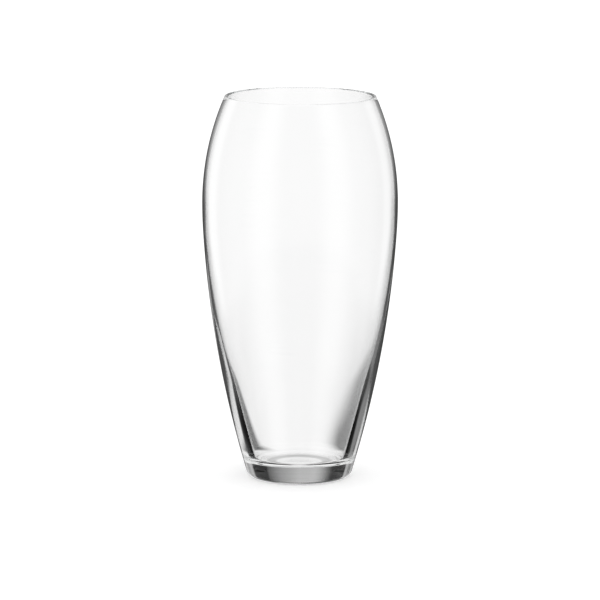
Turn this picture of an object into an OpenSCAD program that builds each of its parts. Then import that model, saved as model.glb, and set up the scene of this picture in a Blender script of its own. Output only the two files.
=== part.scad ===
// Barrel-shaped highball glass. It stands on the plane z = 0, with its axis along Z.
// The glass is one piece of clear glass, drawn here as the three zones that it is worked in:
// the solid base, the thin-walled bowl and the fire-polished rim. They meet on level planes.

/* [Outside] */
// Height of the glass
glass_h = 150; // [140:1:165]
// Outside diameter of the mouth, where the shoulder's curve reaches the top
mouth_d = 58.6; // [52:0.2:66]
// Outside diameter at the widest point
belly_d = 76.2; // [72:0.2:84]
// Height of the widest point above the table
belly_h = 108; // [100:1:116]
// Radius of the outside curve just below the widest point
belly_r = 175; // [140:5:220]
// Height of that curve, from the widest point down
belly_drop = 11; // [6:0.5:18]
// Diameter at which the side would meet the table without its rounded heel
foot_d = 40.2; // [36:0.2:46]
// Radius of the rounded heel
heel_r = 3; // [1:0.1:5]

/* [Wall] */
// Wall thickness from the rim down to the widest point
wall_t = 1.3; // [1:0.05:1.8]
// Wall thickness of the flank at the height given next, measured level
flank_t = 2.8; // [2.2:0.1:3.4]
// Height of that measurement above the table
flank_h = 45; // [38:1:52]
// Wall thickness at the level of the cavity floor, measured level
foot_t = 4.8; // [4.2:0.1:6]
// Thickness of the solid base below the cavity
floor_t = 7; // [4:0.1:10]
// Radius of the rounded corner between the side and the floor of the cavity
corner_r = 4; // [2.5:0.1:7]

/* [Zones] */
// Height of the rim zone, from its joint plane to the top
rim_h = 3; // [2:0.1:6]
// Height of the base zone's joint plane above the cavity floor
joint_rise = 2; // [1:0.1:2.5]

/* [Hidden] */
glass_colour = [0.88, 0.93, 0.94, 0.45];

// A drawn arc turns by no more than this many degrees in one step
arc_step_turn = 10;
// A drawn arc runs no further than this in one step
arc_step_length = 3;

// Outlines lie in the half plane of radius and height: a point is [radius, height].
belly_point = [belly_d / 2, belly_h];

// Shoulder: an arc that leaves the widest point upright and reaches the mouth at the top
shoulder_in = (belly_d - mouth_d) / 2;
shoulder_rise = glass_h - belly_h;
shoulder_r = (pow(shoulder_in, 2) + pow(shoulder_rise, 2)) / (2 * shoulder_in);
shoulder_centre = belly_point - [shoulder_r, 0];

// Belly: the curve that leaves the widest point upright and runs down to the flank
belly_centre = belly_point - [belly_r, 0];
belly_turn = asin(belly_drop / belly_r);

// Flank: an arc that goes on from the belly without a kink and aims at the foot's diameter
flank_top = belly_centre + belly_r * direction(-belly_turn);
flank_run = [foot_d / 2, 0] - flank_top;
flank_r = -(flank_run * flank_run) / (2 * flank_run * direction(-belly_turn));
flank_centre = flank_top - flank_r * direction(-belly_turn);

// Heel: a small arc that touches the flank and the table
heel_centre = [side_radius(flank_centre, flank_r - heel_r, heel_r), heel_r];
heel_turn = angle_of(heel_centre - flank_centre);

// Cavity flank: a straight line set by the wall's thickness at two heights
cavity_low = [side_radius(flank_centre, flank_r, floor_t) - foot_t, floor_t];
cavity_mid = [side_radius(flank_centre, flank_r, flank_h) - flank_t, flank_h];
cavity_lean = angle_of([flank_h - floor_t, cavity_mid[0] - cavity_low[0]]);

// Cavity belly: an arc that leaves the widest point upright and runs into that line
cavity_belly_point = belly_point - [wall_t, 0];
cavity_meet_h = floor_t + (cavity_belly_point[0] - cavity_low[0]) / tan(cavity_lean);
cavity_r = (belly_h - cavity_meet_h) / tan(cavity_lean / 2);
cavity_centre = cavity_belly_point - [cavity_r, 0];

// Cavity corner: an arc that touches the straight flank and the floor
corner_in = corner_r * (1 - sin(cavity_lean)) / cos(cavity_lean);
corner_centre = cavity_low + [-corner_in, corner_r];

// Rim: a round edge, as thick as the wall, whose highest point is the top of the glass
lip_r = wall_t / 2;
lip_turn = asin((shoulder_rise - lip_r) / (shoulder_r - lip_r));
lip_centre = shoulder_centre + (shoulder_r - lip_r) * direction(lip_turn);

// Joint planes between the zones
base_joint_h = floor_t + joint_rise;
rim_joint_h = glass_h - rim_h;

// Outline of the glass on one side of its axis, from the underside up and back down the cavity
glass_outline = concat(
    [[0, 0], [heel_centre[0], 0]],
    arc(heel_centre, heel_r, -90, heel_turn),
    arc(flank_centre, flank_r, heel_turn, -belly_turn),
    arc(belly_centre, belly_r, -belly_turn, 0),
    arc(shoulder_centre, shoulder_r, 0, lip_turn),
    arc(lip_centre, lip_r, lip_turn, 90),
    arc(lip_centre, lip_r, 90, lip_turn + 180),
    arc(shoulder_centre, shoulder_r - wall_t, lip_turn, 0),
    arc(cavity_centre, cavity_r, 0, -cavity_lean),
    [corner_centre + corner_r * direction(-cavity_lean)],
    arc(corner_centre, corner_r, -cavity_lean, -90),
    [[0, floor_t]]
);

// Unit vector at an angle to the level
function direction(angle) = [cos(angle), sin(angle)];

function angle_of(v) = atan2(v[1], v[0]);

// Radius of an arc's outer side at a height
function side_radius(centre, r, h) = centre[0] + sqrt(pow(r, 2) - pow(h - centre[1], 2));

function arc_steps(r, turn) = ceil(max(turn / arc_step_turn, r * turn * PI / 180 / arc_step_length));

// Points along an arc between two angles, without the first one
function arc(centre, r, from, to) =
    let (steps = arc_steps(r, abs(to - from)))
    [for (i = [1 : steps]) centre + r * direction(from + (to - from) * i / steps)];

// The glass between two heights
module glass_zone(low, high) {
    color(glass_colour)
        rotate_extrude($fn = 180)
            intersection() {
                polygon(glass_outline);
                translate([0, low])
                    square([belly_d, high - low]);
            }
}

// Solid base with the floor of the cavity and the lower part of its rounded corner
module base() {
    glass_zone(0, base_joint_h);
}

// Wall of the bowl, thick at the base and thin from the widest point up
module bowl() {
    glass_zone(base_joint_h, rim_joint_h);
}

// Fire-polished rim with its round edge
module rim() {
    glass_zone(rim_joint_h, glass_h);
}

base();
bowl();
rim();
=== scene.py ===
import math

import bmesh
import bpy
from mathutils import Matrix, Vector


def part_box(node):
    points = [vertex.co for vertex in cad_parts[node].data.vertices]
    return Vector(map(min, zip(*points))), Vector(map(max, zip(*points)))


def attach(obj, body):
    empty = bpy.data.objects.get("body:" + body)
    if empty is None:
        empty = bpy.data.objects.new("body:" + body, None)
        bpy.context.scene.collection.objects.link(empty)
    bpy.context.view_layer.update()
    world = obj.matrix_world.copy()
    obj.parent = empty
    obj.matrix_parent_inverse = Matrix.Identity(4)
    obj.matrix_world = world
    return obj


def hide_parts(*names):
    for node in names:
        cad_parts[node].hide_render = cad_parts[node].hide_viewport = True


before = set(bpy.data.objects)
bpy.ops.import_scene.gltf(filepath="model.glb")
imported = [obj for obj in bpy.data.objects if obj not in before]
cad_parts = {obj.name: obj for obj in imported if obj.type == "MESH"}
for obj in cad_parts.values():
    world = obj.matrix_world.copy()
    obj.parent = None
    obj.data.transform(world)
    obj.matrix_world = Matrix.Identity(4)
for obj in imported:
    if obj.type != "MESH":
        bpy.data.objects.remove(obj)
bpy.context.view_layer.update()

# Clear barrel-shaped highball glass on a white studio floor.
# The CAD zones base, bowl and rim are one melt of glass, so one continuous skin stands for all three:
# a face between them would show as a line inside the glass.

bl_info = {
    "name": "Highball Glass",
    "version": (1, 0, 0),
    "blender": (4, 5, 0),
    "location": "3D View > Sidebar > Highball Glass",
    "description": "Builds a clear barrel-shaped highball glass and the bright studio it stands in",
    "category": "Object",
}

MM = 0.001

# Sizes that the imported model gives
GLASS_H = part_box("rim")[1].z
BELLY_D = 2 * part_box("bowl")[1].x

# Steps along the stretches of the outline
LEVEL_STEPS = 6
HEEL_STEPS = 14
FLANK_STEPS = 44
BELLY_STEPS = 8
SHOULDER_STEPS = 28
LIP_STEPS = 16
CAVITY_BELLY_STEPS = 32
CAVITY_FLANK_STEPS = 16
CORNER_STEPS = 14

# The stage's surfaces lie just under the glass, one below the other
FOOT_SHADOW_Z = -0.1 * MM
PAINTED_SHADE_Z = -0.15 * MM
FLOOR_Z = -0.2 * MM

# Corners of the round shadow under the foot
FOOT_SHADOW_CORNERS = 96

# Light crosses the walls many times before it leaves the glass
MAX_BOUNCES = 200
TRANSMISSION_BOUNCES = 48
GLOSSY_BOUNCES = 160

# Width of the camera's sensor in millimetres, and how far the camera sees in metres
SENSOR_WIDTH = 36.0
CAMERA_REACH = 100.0


def length(name, description, default):
    """A property that holds a length in metres."""
    return bpy.props.FloatProperty(
        name=name, description=description, default=default, min=0.0, precision=5, unit="LENGTH")


def angle(name, description, degrees):
    """A property that holds an angle."""
    return bpy.props.FloatProperty(
        name=name, description=description, default=math.radians(degrees), precision=4, subtype="ANGLE")


def share(name, description, default):
    """A property that holds a share between none and all."""
    return bpy.props.FloatProperty(
        name=name, description=description, default=default, min=0.0, max=1.0, subtype="FACTOR")


def count(name, description, default):
    """A property that holds a number of parts."""
    return bpy.props.IntProperty(name=name, description=description, default=default, min=3)


def colour(name, description, default):
    """A property that holds a colour."""
    return bpy.props.FloatVectorProperty(
        name=name, description=description, default=default, size=3, min=0.0, max=1.0, subtype="COLOR")


class GlassSizes(bpy.types.PropertyGroup):
    """Sizes of the glass, the same as in its CAD model."""

    glass_h: length("Height", "Height of the glass", GLASS_H)
    mouth_d: length("Mouth", "Outside diameter where the shoulder's curve reaches the top", 58.6 * MM)
    belly_d: length("Belly", "Outside diameter at the widest point", BELLY_D)
    belly_h: length("Belly height", "Height of the widest point above the table", 108 * MM)
    belly_r: length("Belly curve", "Radius of the outside curve just below the widest point", 175 * MM)
    belly_drop: length("Belly drop", "Height of that curve, from the widest point down", 11 * MM)
    foot_d: length("Foot", "Diameter at which the side would meet the table without its heel", 40.2 * MM)
    heel_r: length("Heel", "Radius of the rounded heel", 3 * MM)
    wall_t: length("Wall", "Wall thickness from the rim down to the widest point", 1.3 * MM)
    flank_t: length("Flank wall", "Wall thickness of the flank, measured level", 2.8 * MM)
    flank_h: length("Flank height", "Height at which the flank's wall is measured", 45 * MM)
    foot_t: length("Foot wall", "Wall thickness at the level of the cavity floor", 4.8 * MM)
    floor_t: length("Base", "Thickness of the solid base below the cavity", 7 * MM)
    corner_r: length("Cavity corner", "Radius between the side and the floor of the cavity", 4 * MM)
    around: count("Facets around", "Faces around the glass", 256)


class GlassFinish(bpy.types.PropertyGroup):
    """What the glass is like to look at."""

    clear: colour("Clear glass", "Colour that clean glass lets through at its surface", (1.0, 1.0, 1.0))
    wiped: colour(
        "Wiped glass", "Colour that glass lets through where a cloth has left a trace", (0.985, 0.987, 0.988))
    depth_tint: colour("Depth tint", "Colour that thick glass takes on", (0.90, 0.94, 0.93))
    depth_density: bpy.props.FloatProperty(
        name="Depth density", description="How fast thick glass takes on its tint, per metre",
        default=1.5, min=0.0)
    bend: bpy.props.FloatProperty(
        name="Index of refraction", description="How much the glass bends light", default=1.52, min=1.0)
    polish: share("Polish", "Roughness of clean fire-polished glass", 0.0)
    trace: share("Cloth traces", "Roughness where a cloth has left a trace", 0.012)
    ripple: length("Ripple", "Height of the faint waves that blowing leaves in the surface", 0.004 * MM)


class StudioSettings(bpy.types.PropertyGroup):
    """The camera and the bright room around the glass."""

    camera_away: length("Camera distance", "Distance from the camera to the glass", 1.599)
    camera_lift: angle("Camera height", "Angle by which the camera looks down", 9.68)
    camera_roll: angle("Camera roll", "Turn of the camera about its own axis", 0.19)
    camera_side: length("Camera side", "Shift of the camera to the right of the glass", 0.0001)
    aim_h: length("Aim", "Height on the glass's axis at the middle of the picture", 69.65 * MM)
    lens: bpy.props.FloatProperty(
        name="Lens", description="Focal length on a sensor 36 mm wide", default=245.6, min=1.0)
    floor_size: length("Floor", "Side of the square floor", 12.0)
    floor_white: colour("Floor colour", "Colour of the floor", (0.95, 0.95, 0.95))
    floor_glow: share("Floor glow", "Light of the lit floor itself", 0.24)


class Sock:
    """A node's output that takes part in Python expressions. Each operator adds a Math node."""

    def __init__(self, tree, out):
        self.tree = tree
        self.out = out

    def feed(self, node, name):
        """Links this output to a socket of a node."""
        self.tree.links.new(self.out, node.inputs[name])

    def node(self, kind, settings=None, inputs=None, out=0):
        """Adds a node, sets its settings first and then the values or links of its sockets."""
        made = self.tree.nodes.new(kind)
        for name, value in (settings or {}).items():
            setattr(made, name, value)
        for name, value in (inputs or {}).items():
            if isinstance(value, Sock):
                value.feed(made, name)
            else:
                made.inputs[name].default_value = value
        return Sock(self.tree, made.outputs[out])

    def math(self, operation, *values):
        """Adds a Math node."""
        return self.node("ShaderNodeMath", {"operation": operation}, dict(enumerate(values)))

    def __add__(self, other):
        return self.math("ADD", self, other)

    __radd__ = __add__

    def __sub__(self, other):
        return self.math("SUBTRACT", self, other)

    def __rsub__(self, other):
        return self.math("SUBTRACT", other, self)

    def __mul__(self, other):
        return self.math("MULTIPLY", self, other)

    __rmul__ = __mul__

    def __truediv__(self, other):
        return self.math("DIVIDE", self, other)

    def __rtruediv__(self, other):
        return self.math("DIVIDE", other, self)

    def __neg__(self):
        return self.math("MULTIPLY", self, -1.0)

    def __abs__(self):
        return self.math("ABSOLUTE", self)

    def at_least(self, low):
        """The larger of this and another value."""
        return self.math("MAXIMUM", self, low)

    def wrapped(self, half):
        """Repeats the range from minus half to half."""
        return self.math("WRAP", self, half, -half)

    def slope(self, start, end, kind="LINEAR"):
        """Rises evenly from 0 at start to 1 at end."""
        return self.node("ShaderNodeMapRange", {"interpolation_type": kind}, {0: self, 1: start, 2: end})

    def ramp(self, start, end):
        """Rises smoothly from 0 at start to 1 at end."""
        return self.slope(start, end, "SMOOTHSTEP")

    def band(self, rise, fall):
        """1 between two soft edges, each given as where it starts and ends."""
        return self.ramp(*rise) * (1 - self.ramp(*fall))

    def parts(self):
        """The X, Y and Z of a vector."""
        split = self.node("ShaderNodeSeparateXYZ", None, {0: self}).out.node
        return [Sock(self.tree, out) for out in split.outputs]

    def light_path(self, name):
        """What a ray of light has met so far."""
        return self.node("ShaderNodeLightPath", out=name)


def blend(low, high, mask):
    """Goes from one value to another as a mask goes from 0 to 1."""
    return low + (high - low) * mask


def mixed_colour(low, high, mask):
    """Goes from one colour to another as a mask goes from 0 to 1."""
    return mask.node(
        "ShaderNodeMix", {"data_type": "RGBA"}, {0: mask, 6: (*low, 1.0), 7: (*high, 1.0)}, out=2)


def noise(spot, scale, detail):
    """Soft noise, with a scale along X, Y and Z per metre."""
    stretched = spot.node("ShaderNodeVectorMath", {"operation": "MULTIPLY"}, {0: spot, 1: scale})
    return spot.node("ShaderNodeTexNoise", None, {"Vector": stretched, "Scale": 1.0, "Detail": detail})


def new_tree(owner):
    """Empties a material's or world's nodes and returns a start for expressions and the output node."""
    owner.use_nodes = True
    tree = owner.node_tree
    tree.nodes.clear()
    kind = "ShaderNodeOutputWorld" if isinstance(owner, bpy.types.World) else "ShaderNodeOutputMaterial"
    return Sock(tree, None), tree.nodes.new(kind)


# Shape of the glass

def direction(turn):
    """Unit vector at an angle to the level."""
    return Vector((math.cos(turn), math.sin(turn)))


def arc(centre, radius, start, end, steps):
    """Points along an arc between two angles, without the first one."""
    return [centre + radius * direction(start + (end - start) * i / steps) for i in range(1, steps + 1)]


def line(start, end, steps):
    """Points along a straight line, without the first one."""
    return [start.lerp(end, i / steps) for i in range(1, steps + 1)]


def side_radius(centre, radius, height):
    """Radius of an arc's outer side at a height."""
    return centre.x + math.sqrt(radius ** 2 - (height - centre.y) ** 2)


def glass_outline(s):
    """Outline on one side of the axis, as radius and height, from the underside up and down the cavity."""
    belly = Vector((s.belly_d / 2, s.belly_h))
    # Shoulder: an arc that leaves the widest point upright and reaches the mouth at the top
    shoulder_in = (s.belly_d - s.mouth_d) / 2
    shoulder_rise = s.glass_h - s.belly_h
    shoulder_r = (shoulder_in ** 2 + shoulder_rise ** 2) / (2 * shoulder_in)
    shoulder_centre = belly - Vector((shoulder_r, 0))
    # Belly: the curve from the widest point down to the flank
    belly_centre = belly - Vector((s.belly_r, 0))
    belly_turn = math.asin(s.belly_drop / s.belly_r)
    # Flank: an arc that goes on without a kink and aims at the foot's diameter
    flank_top = belly_centre + s.belly_r * direction(-belly_turn)
    flank_run = Vector((s.foot_d / 2, 0)) - flank_top
    flank_r = -flank_run.dot(flank_run) / (2 * flank_run.dot(direction(-belly_turn)))
    flank_centre = flank_top - flank_r * direction(-belly_turn)
    # Heel: a small arc that touches the flank and the table
    heel_centre = Vector((side_radius(flank_centre, flank_r - s.heel_r, s.heel_r), s.heel_r))
    heel_turn = math.atan2(heel_centre.y - flank_centre.y, heel_centre.x - flank_centre.x)
    # Cavity flank: a straight line set by the wall's thickness at two heights
    cavity_low = Vector((side_radius(flank_centre, flank_r, s.floor_t) - s.foot_t, s.floor_t))
    cavity_mid = Vector((side_radius(flank_centre, flank_r, s.flank_h) - s.flank_t, s.flank_h))
    cavity_lean = math.atan2(cavity_mid.x - cavity_low.x, s.flank_h - s.floor_t)
    # Cavity belly: an arc that leaves the widest point upright and runs into that line
    cavity_belly = belly - Vector((s.wall_t, 0))
    meet_h = s.floor_t + (cavity_belly.x - cavity_low.x) / math.tan(cavity_lean)
    cavity_r = (s.belly_h - meet_h) / math.tan(cavity_lean / 2)
    cavity_centre = cavity_belly - Vector((cavity_r, 0))
    # Cavity corner: an arc that touches the straight flank and the floor
    corner_in = s.corner_r * (1 - math.sin(cavity_lean)) / math.cos(cavity_lean)
    corner_centre = cavity_low + Vector((-corner_in, s.corner_r))
    # Rim: a round edge as thick as the wall
    lip_r = s.wall_t / 2
    lip_turn = math.asin((shoulder_rise - lip_r) / (shoulder_r - lip_r))
    lip_centre = shoulder_centre + (shoulder_r - lip_r) * direction(lip_turn)

    down = -math.pi / 2
    bottom = Vector((0, 0))
    heel_start = Vector((heel_centre.x, 0))
    flank_end = cavity_centre + cavity_r * direction(-cavity_lean)
    corner_start = corner_centre + s.corner_r * direction(-cavity_lean)
    floor_edge = Vector((corner_centre.x, s.floor_t))
    floor_middle = Vector((0, s.floor_t))
    return (
        [bottom]
        + line(bottom, heel_start, LEVEL_STEPS)
        + arc(heel_centre, s.heel_r, down, heel_turn, HEEL_STEPS)
        + arc(flank_centre, flank_r, heel_turn, -belly_turn, FLANK_STEPS)
        + arc(belly_centre, s.belly_r, -belly_turn, 0, BELLY_STEPS)
        + arc(shoulder_centre, shoulder_r, 0, lip_turn, SHOULDER_STEPS)
        + arc(lip_centre, lip_r, lip_turn, lip_turn + math.pi, LIP_STEPS)
        + arc(shoulder_centre, shoulder_r - s.wall_t, lip_turn, 0, SHOULDER_STEPS)
        + arc(cavity_centre, cavity_r, 0, -cavity_lean, CAVITY_BELLY_STEPS)
        + line(flank_end, corner_start, CAVITY_FLANK_STEPS)
        + arc(corner_centre, s.corner_r, -cavity_lean, down, CORNER_STEPS)
        + line(floor_edge, floor_middle, LEVEL_STEPS)
    )


def turned_mesh(name, outline, around):
    """A closed mesh turned from an outline that starts and ends on the axis."""
    bm = bmesh.new()
    turns = [direction(2 * math.pi * i / around) for i in range(around)]
    first = bm.verts.new((0, 0, outline[0].y))
    rings = [[bm.verts.new((p.x * t.x, p.x * t.y, p.y)) for t in turns] for p in outline[1:-1]]
    last = bm.verts.new((0, 0, outline[-1].y))
    for i in range(around):
        j = (i + 1) % around
        bm.faces.new((first, rings[0][j], rings[0][i]))
        for low, high in zip(rings, rings[1:]):
            bm.faces.new((low[i], low[j], high[j], high[i]))
        bm.faces.new((rings[-1][i], rings[-1][j], last))
    for face in bm.faces:
        face.smooth = True
    mesh = bpy.data.meshes.new(name)
    bm.to_mesh(mesh)
    bm.free()
    return mesh


def place(obj):
    """Links an object to the scene."""
    bpy.context.scene.collection.objects.link(obj)
    return obj


# Finish of the glass

def clear_glass(finish):
    """Clear soda-lime glass, fire polished, with faint ripples and the traces of a drying cloth."""
    mat = bpy.data.materials.new("clear_glass")
    start, out = new_tree(mat)
    spot = start.node("ShaderNodeTexCoord", out="Object")
    # Traces of a cloth: soft patches, broken up by fine streaks that run around the glass
    patches = noise(spot, (38.0, 38.0, 38.0), 3.0)
    streaks = noise(spot, (60.0, 60.0, 900.0), 2.0)
    traces = patches.ramp(0.52, 0.72) * streaks.ramp(0.45, 0.7)
    # Ripples: slow waves, longer around the glass than up it
    ripples = noise(spot, (34.0, 34.0, 70.0), 1.0)
    bump = start.node("ShaderNodeBump", None, {"Height": ripples, "Distance": finish.ripple, "Strength": 1.0})
    shader = start.node("ShaderNodeBsdfPrincipled", None, {
        "Base Color": mixed_colour(finish.clear, finish.wiped, traces),
        "Roughness": blend(finish.polish, finish.trace, traces),
        "Normal": bump,
        "IOR": finish.bend,
        "Transmission Weight": 1.0,
    })
    depth = start.node("ShaderNodeVolumeAbsorption", None, {
        "Color": (*finish.depth_tint, 1.0), "Density": finish.depth_density})
    shader.feed(out, "Surface")
    depth.feed(out, "Volume")
    return mat


class OBJECT_OT_highball_glass(bpy.types.Operator):
    """Builds the glass with its finish, in place of the CAD zones"""
    bl_idname = "object.highball_glass"
    bl_label = "Glass"
    bl_options = {"REGISTER", "UNDO"}

    def execute(self, context):
        sizes = context.scene.glass_sizes
        mesh = turned_mesh("highball_glass", glass_outline(sizes), sizes.around)
        mesh.materials.append(clear_glass(context.scene.glass_finish))
        glass = place(bpy.data.objects.new("highball_glass", mesh))
        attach(glass, "root")
        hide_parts("base", "bowl", "rim")
        return {"FINISHED"}


# Studio: a bright tent with dark panels, which the glass shows along its edges.
# Angles are in degrees: turn is 0 straight behind the glass and grows to the right, rise is 0 at the level.
# A tone is 0 for black and 1 for white. A shade is the share of the light that something dark takes away.

LIT_TABLE_TONE = 0.9
HALF_WINDOW_TURN = 22.5
HALF_SIDE_TURN = 45.0


def straight_tone(turn, rise):
    """What shows straight through: a white table and backdrop, dark wings and a grey wall above."""
    wall_shade, table_shade, wing_shade, panel_shade = 0.54, 0.25, 0.84, 0.97
    room_wall_shade, gap_shade = 0.5, 0.15
    left, right = -turn, turn
    middle = 1 - abs(turn).ramp(7.0, 15.0)
    top = middle * rise.ramp(24.0, 30.0) + (1 - middle) * rise.ramp(46.0, 60.0)
    tone = 1 - wall_shade * rise.ramp(-3.0, 2.0) * (1 - top)
    # The table is a little darker on the right
    table = rise.band((-33.0, -28.0), (-7.0, -1.0)) * (1 - abs(turn).ramp(32.0, 39.0))
    tone = tone * (1 - table_shade * right.ramp(0.0, 16.0) * table)
    # Wings above the level: the right one darkens evenly and ends in a black panel
    above = rise.ramp(1.0, 4.0) * (1 - top)
    tone = tone * (1 - wing_shade * right.slope(0.0, 25.0) * (1 - right.ramp(45.0, 50.0)) * above)
    tone = tone * (1 - panel_shade * right.band((24.5, 27.0), (45.0, 50.0)) * above)
    tone = tone * (1 - panel_shade * left.band((10.0, 29.0), (46.5, 49.5)) * above)
    # White windows with dark gaps between them, in the rest of the room
    aside = abs(turn.wrapped(HALF_WINDOW_TURN))
    front = abs(turn).ramp(95.0, 110.0)
    window_shade = blend(0.85, 0.55, front)
    gaps = 1 - gap_shade * aside.ramp(9.0, 17.0) * rise.band((-52.0, -44.0), (-15.0, -9.0))
    wall = 1 - room_wall_shade * rise.band((-3.0, 2.0), (20.0, 34.0))
    high = 1 - window_shade * aside.ramp(6.0, 18.0) * rise.band((1.0, 4.0), (34.0, 48.0))
    back = 1 - abs(turn).ramp(50.0, 54.0)
    return back * tone + (1 - back) * gaps * wall * high


def room_tone(turn, rise):
    """The rest of the room, which the walls of the glass mirror: bright corners between darker sides."""
    aside = abs(turn.wrapped(HALF_SIDE_TURN))
    shade = blend(0.45, 0.55, abs(turn).ramp(115.0, 140.0))
    return 1 - shade * (1 - aside.ramp(16.0, 42.0)) * rise.band((-60.0, -50.0), (40.0, 55.0))


def side_tone(turn, rise):
    """The backdrop as the glass mirrors it: dark in the middle, grey and then bright at the sides."""
    # The right side starts a little further out, and towards the floor the bright sides draw apart
    far = (-turn).at_least(turn - 3.0)
    deep = (-10.0 - rise).at_least(0.0)
    dark = blend(0.06, 0.28, rise.ramp(-9.0, 1.0))
    grey = blend(0.12, 0.5, rise.ramp(-10.5, -3.0))
    tone = blend(dark, grey, far.ramp(17.0, 29.0))
    tone = blend(tone, 1, far.ramp(34.0 + deep, 48.0 + 1.3 * deep))
    return blend(tone, room_tone(turn, rise), abs(turn).ramp(56.0, 66.0))


def edge_tone(turn, rise, once):
    """What the walls mirror from inside: the sides, a dark floor and the lit table with its grey end."""
    grey_table_tone = 0.28
    left, right, drop = -turn, turn, -rise
    front = abs(turn).ramp(95.0, 120.0)
    floor_shade = blend(0.97, 0.2, front)
    tone = side_tone(turn, rise) * (1 - drop.ramp(20.0, 26.0) * floor_shade)
    # The table's far edge falls away to the left, and its right edge draws in towards the glass
    far_edge = (drop - 0.35 * left.at_least(0.0)).ramp(10.2, 12.7)
    right_edge = (right + 1.5 * (drop - 17.0).at_least(0.0)).ramp(12.0, 19.0)
    table = far_edge * (1 - right_edge) * (1 - left.ramp(26.0, 32.0)) * (1 - drop.ramp(27.5, 30.5))
    grey = right.band((2.0, 8.0), (33.0, 40.0)) * drop.band((17.0, 20.0), (25.0, 28.0))
    return tone.at_least(LIT_TABLE_TONE * table * once).at_least(grey_table_tone * grey * once)


def trapped_tone(rise):
    """What reaches the eye after many turns inside the wall: a dark room with a bright floor and ceiling."""
    return blend(0.06, 1.0, abs(rise).ramp(26.0, 34.0))


def mirror_tone(turn, rise):
    """What the outside of the glass mirrors: the sides, a dark floor, the lit table and a pale rim light."""
    floor_shade, table_end_shade = 0.9, 0.5
    pale_tone, lip_tone = 0.6, 0.85
    left, right, drop = -turn, turn, -rise
    floor = drop.ramp(20.0, 26.0) * abs(turn).band((40.0, 50.0), (95.0, 110.0))
    table = drop.band((16.8, 18.2), (24.0, 30.0)) * (1 - left.ramp(46.0, 56.0))
    table = table * (1 - table_end_shade * right.ramp(8.0, 16.0)) * (1 - right.ramp(36.0, 46.0))
    pale = left.band((0.0, 4.0), (22.0, 28.0)) * drop.band((10.3, 11.3), (12.3, 13.3))
    lip = rise.ramp(1.0, 5.0) * (1 - abs(turn).ramp(10.0, 16.0))
    tone = side_tone(turn, rise) * (1 - floor_shade * floor)
    return tone.at_least(LIT_TABLE_TONE * table).at_least(pale_tone * pale).at_least(lip_tone * lip)


def studio_tone(start):
    """How bright the studio is in each direction, as the glass shows it."""
    second_wall_shade = 0.4
    x, y, z = start.node("ShaderNodeTexCoord", out="Generated").parts()
    turn = x.math("ARCTAN2", x, y) * math.degrees(1)
    rise = z.math("ARCSINE", z) * math.degrees(1)
    mirrored = start.light_path("Is Reflection Ray")
    # How often light has been mirrored
    times = start.light_path("Glossy Depth")
    bounced = times.ramp(0.0, 1.0)
    once = 1 - times.ramp(1.0, 3.0)
    trapped = times.ramp(4.0, 6.0)
    # Second images, mirrored by the far wall or the cavity floor, stay plain
    second = bounced * start.light_path("Transmission Depth").ramp(2.0, 3.0)
    edge = trapped * trapped_tone(rise) + (1 - trapped) * edge_tone(turn, rise, once)
    tone = bounced * edge + (1 - bounced) * straight_tone(turn, rise)
    tone = mirrored * mirror_tone(turn, rise) + (1 - mirrored) * tone
    return (1 - second) * tone + second * (1 - second_wall_shade * rise.ramp(0.0, 4.0))


def floor_light(start):
    """1 for light that falls on the floor, and 0 for all other light."""
    return start.light_path("Diffuse Depth").ramp(0.0, 1.0)


def studio_world(scene):
    """White for the camera and the floor's light, and the tent for what passes through or off the glass."""
    world = bpy.data.worlds.new("studio")
    scene.world = world
    start, out = new_tree(world)
    seen = start.light_path("Is Glossy Ray").at_least(start.light_path("Is Transmission Ray"))
    # The floor is lit by a plain white room, also through the glass
    seen = seen * (1 - floor_light(start))
    tone = seen * studio_tone(start) + (1 - seen)
    start.node("ShaderNodeBackground", None, {"Color": (1, 1, 1, 1), "Strength": tone}).feed(out, "Surface")
    world.cycles.sampling_method = "NONE"


def flat_sheet(name, low, high):
    """A level rectangle between two corners."""
    mesh = bpy.data.meshes.new(name)
    corners = [(low.x, low.y, 0), (high.x, low.y, 0), (high.x, high.y, 0), (low.x, high.y, 0)]
    mesh.from_pydata(corners, [], [(0, 1, 2, 3)])
    return place(bpy.data.objects.new(name, mesh))


def new_material(obj, name):
    """Gives an object a material without nodes; returns a start for expressions and the output node."""
    mat = bpy.data.materials.new(name)
    obj.data.materials.append(mat)
    return new_tree(mat)


def hide_from(obj, *rays):
    """Lets some kinds of light ray pass an object as if it weren't there."""
    for ray in rays:
        setattr(obj, "visible_" + ray, False)


def studio_floor(settings):
    """White floor that keeps the shadow of the glass."""
    half = Vector((settings.floor_size, settings.floor_size)) / 2
    floor = flat_sheet("floor", -half, half)
    floor.location.z = FLOOR_Z
    start, out = new_material(floor, "white_floor")
    lit = start.node("ShaderNodeBsdfDiffuse", None, {"Color": (*settings.floor_white, 1.0)})
    glow = start.node("ShaderNodeEmission", None, {"Strength": settings.floor_glow})
    start.node("ShaderNodeAddShader", None, {0: lit, 1: glow}).feed(out, "Surface")
    # Glass shows the tent below the level instead, which is as white as this floor
    hide_from(floor, "transmission", "glossy")


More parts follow.
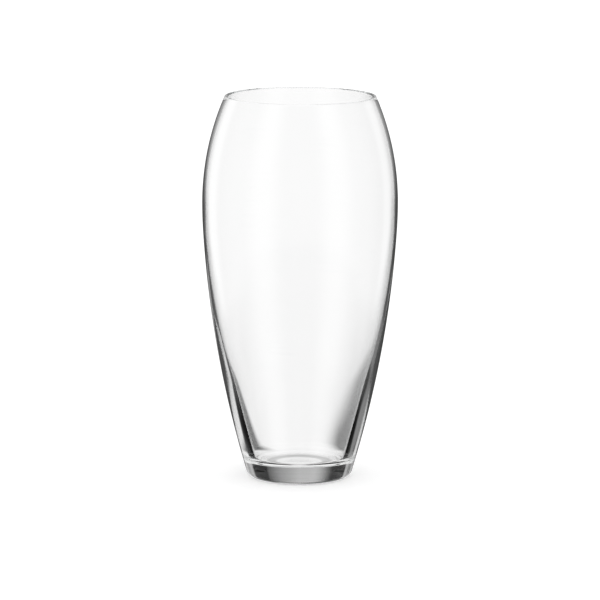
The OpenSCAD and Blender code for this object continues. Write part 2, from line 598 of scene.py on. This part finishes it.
def foot_shadow(sizes):
    """Shadow of the foot's ring on the floor, as it shows through the base of the glass."""
    ring_shade = 0.52
    mesh = bpy.data.meshes.new("foot_shadow")
    shape = bmesh.new()
    radius = sizes.foot_d / 2 - sizes.heel_r
    bmesh.ops.create_circle(shape, cap_ends=True, segments=FOOT_SHADOW_CORNERS, radius=radius)
    shape.to_mesh(mesh)
    shape.free()
    shadow = place(bpy.data.objects.new("foot_shadow", mesh))
    shadow.location.z = FOOT_SHADOW_Z
    start, out = new_material(shadow, "foot_shadow")
    spot = start.node("ShaderNodeNewGeometry", out="Position")
    # Distance from the axis in millimetres
    away = spot.node("ShaderNodeVectorMath", {"operation": "LENGTH"}, {0: spot}, out="Value") / MM
    tone = 1 - ring_shade * away.band((8.4, 10.2), (12.4, 14.4))
    # The floor around it is lit as if this weren't there
    glow = start.node("ShaderNodeEmission", None, {"Color": blend(tone, 1, floor_light(start))})
    glow.feed(out, "Surface")
    hide_from(shadow, "camera", "glossy", "diffuse", "shadow")


def past_edge(x, y, point, lean):
    """Distance past an edge that goes through a point and leans outwards as it runs back from the glass."""
    return x - point[0] - lean * (y - point[1])


def painted_table_shade():
    """Painted shade on the table behind the glass, black on the left and grey on the right, on a sheet that
    only light going straight through the glass meets.
    """
    black_shade, grey_near_shade, grey_far_shade = 0.93, 0.72, 0.58
    low, high = Vector((-120, 15)) * MM, Vector((140, 200)) * MM
    shade_sheet = flat_sheet("painted_table_shade", low, high)
    shade_sheet.location.z = PAINTED_SHADE_Z
    start, out = new_material(shade_sheet, "painted_table_shade")
    spot = start.node("ShaderNodeNewGeometry", out="Position")
    x, y = (part / MM for part in spot.parts()[:2])
    # Distances past the inner edge of each patch of painted shade, in millimetres
    left = past_edge(-x, y, (33.3, 49.0), 0.66)
    right = past_edge(x, y, (21.0, 55.0), 0.5)
    # Painted shade: nearly black on the left, and grey on the right that grows paler further back
    black = black_shade * left.band((-7.0, 7.0), (18.0, 34.0)) * y.band((17.0, 24.0), (84.0, 106.0))
    grey = right.band((-20.0, 14.0), (28.0, 42.0)) * x.ramp(12.0, 28.0) * y.band((17.0, 24.0), (95.0, 195.0))
    grey = grey * blend(grey_near_shade, grey_far_shade, y.ramp(55.0, 85.0))
    # Only light that goes straight through the glass meets them
    met = (1 - start.light_path("Glossy Depth").ramp(0.0, 1.0)) * (1 - floor_light(start))
    shade = (1 - (1 - black) * (1 - grey)) * met
    clear = start.node("ShaderNodeBsdfTransparent")
    dark = start.node("ShaderNodeEmission", None, {"Strength": 0.0})
    start.node("ShaderNodeMixShader", None, {0: shade, 1: clear, 2: dark}).feed(out, "Surface")
    hide_from(shade_sheet, "camera", "glossy", "diffuse", "shadow")


def studio_camera(scene, settings):
    """Camera at the height and distance of the photograph."""
    data = bpy.data.cameras.new("camera")
    data.sensor_width = SENSOR_WIDTH
    data.lens = settings.lens
    data.clip_end = CAMERA_REACH
    camera = place(bpy.data.objects.new("camera", data))
    lift = settings.camera_lift
    camera.location = (
        settings.camera_side,
        -settings.camera_away * math.cos(lift),
        settings.aim_h + settings.camera_away * math.sin(lift),
    )
    tilt = Matrix.Rotation(math.pi / 2 - lift, 3, "X")
    camera.rotation_euler = (tilt @ Matrix.Rotation(settings.camera_roll, 3, "Z")).to_euler()
    scene.camera = camera


class SCENE_OT_glass_studio(bpy.types.Operator):
    """Sets up the floor, the painted shade on the table, the bright studio and the camera"""
    bl_idname = "scene.glass_studio"
    bl_label = "Studio"
    bl_options = {"REGISTER", "UNDO"}

    def execute(self, context):
        scene = context.scene
        settings = scene.glass_studio
        studio_floor(settings)
        foot_shadow(scene.glass_sizes)
        painted_table_shade()
        studio_world(scene)
        studio_camera(scene, settings)
        scene.view_settings.view_transform = "Standard"
        scene.cycles.max_bounces = MAX_BOUNCES
        scene.cycles.transmission_bounces = TRANSMISSION_BOUNCES
        scene.cycles.glossy_bounces = GLOSSY_BOUNCES
        return {"FINISHED"}


class VIEW3D_PT_highball_glass(bpy.types.Panel):
    """Lists the steps and the values that they use"""
    bl_idname = "VIEW3D_PT_highball_glass"
    bl_label = "Highball Glass"
    bl_space_type = "VIEW_3D"
    bl_region_type = "UI"
    bl_category = "Highball Glass"

    def draw(self, context):
        layout = self.layout
        for step in STEPS:
            layout.operator(step)
        for group in GROUPS:
            box = layout.box()
            values = getattr(context.scene, group)
            for name in values.bl_rna.properties.keys():
                if name not in ("name", "rna_type"):
                    box.prop(values, name)


STEPS = (OBJECT_OT_highball_glass.bl_idname, SCENE_OT_glass_studio.bl_idname)
GROUPS = {"glass_sizes": GlassSizes, "glass_finish": GlassFinish, "glass_studio": StudioSettings}
CLASSES = (
    GlassSizes,
    GlassFinish,
    StudioSettings,
    OBJECT_OT_highball_glass,
    SCENE_OT_glass_studio,
    VIEW3D_PT_highball_glass,
)


def register():
    for cls in CLASSES:
        bpy.utils.register_class(cls)
    for name, group in GROUPS.items():
        setattr(bpy.types.Scene, name, bpy.props.PointerProperty(type=group))


def unregister():
    for name in GROUPS:
        delattr(bpy.types.Scene, name)
    for cls in reversed(CLASSES):
        bpy.utils.unregister_class(cls)


def main():
    """Registers the classes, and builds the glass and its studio."""
    register()
    bpy.ops.object.highball_glass()
    bpy.ops.scene.glass_studio()


if __name__ == "__main__":
    main()
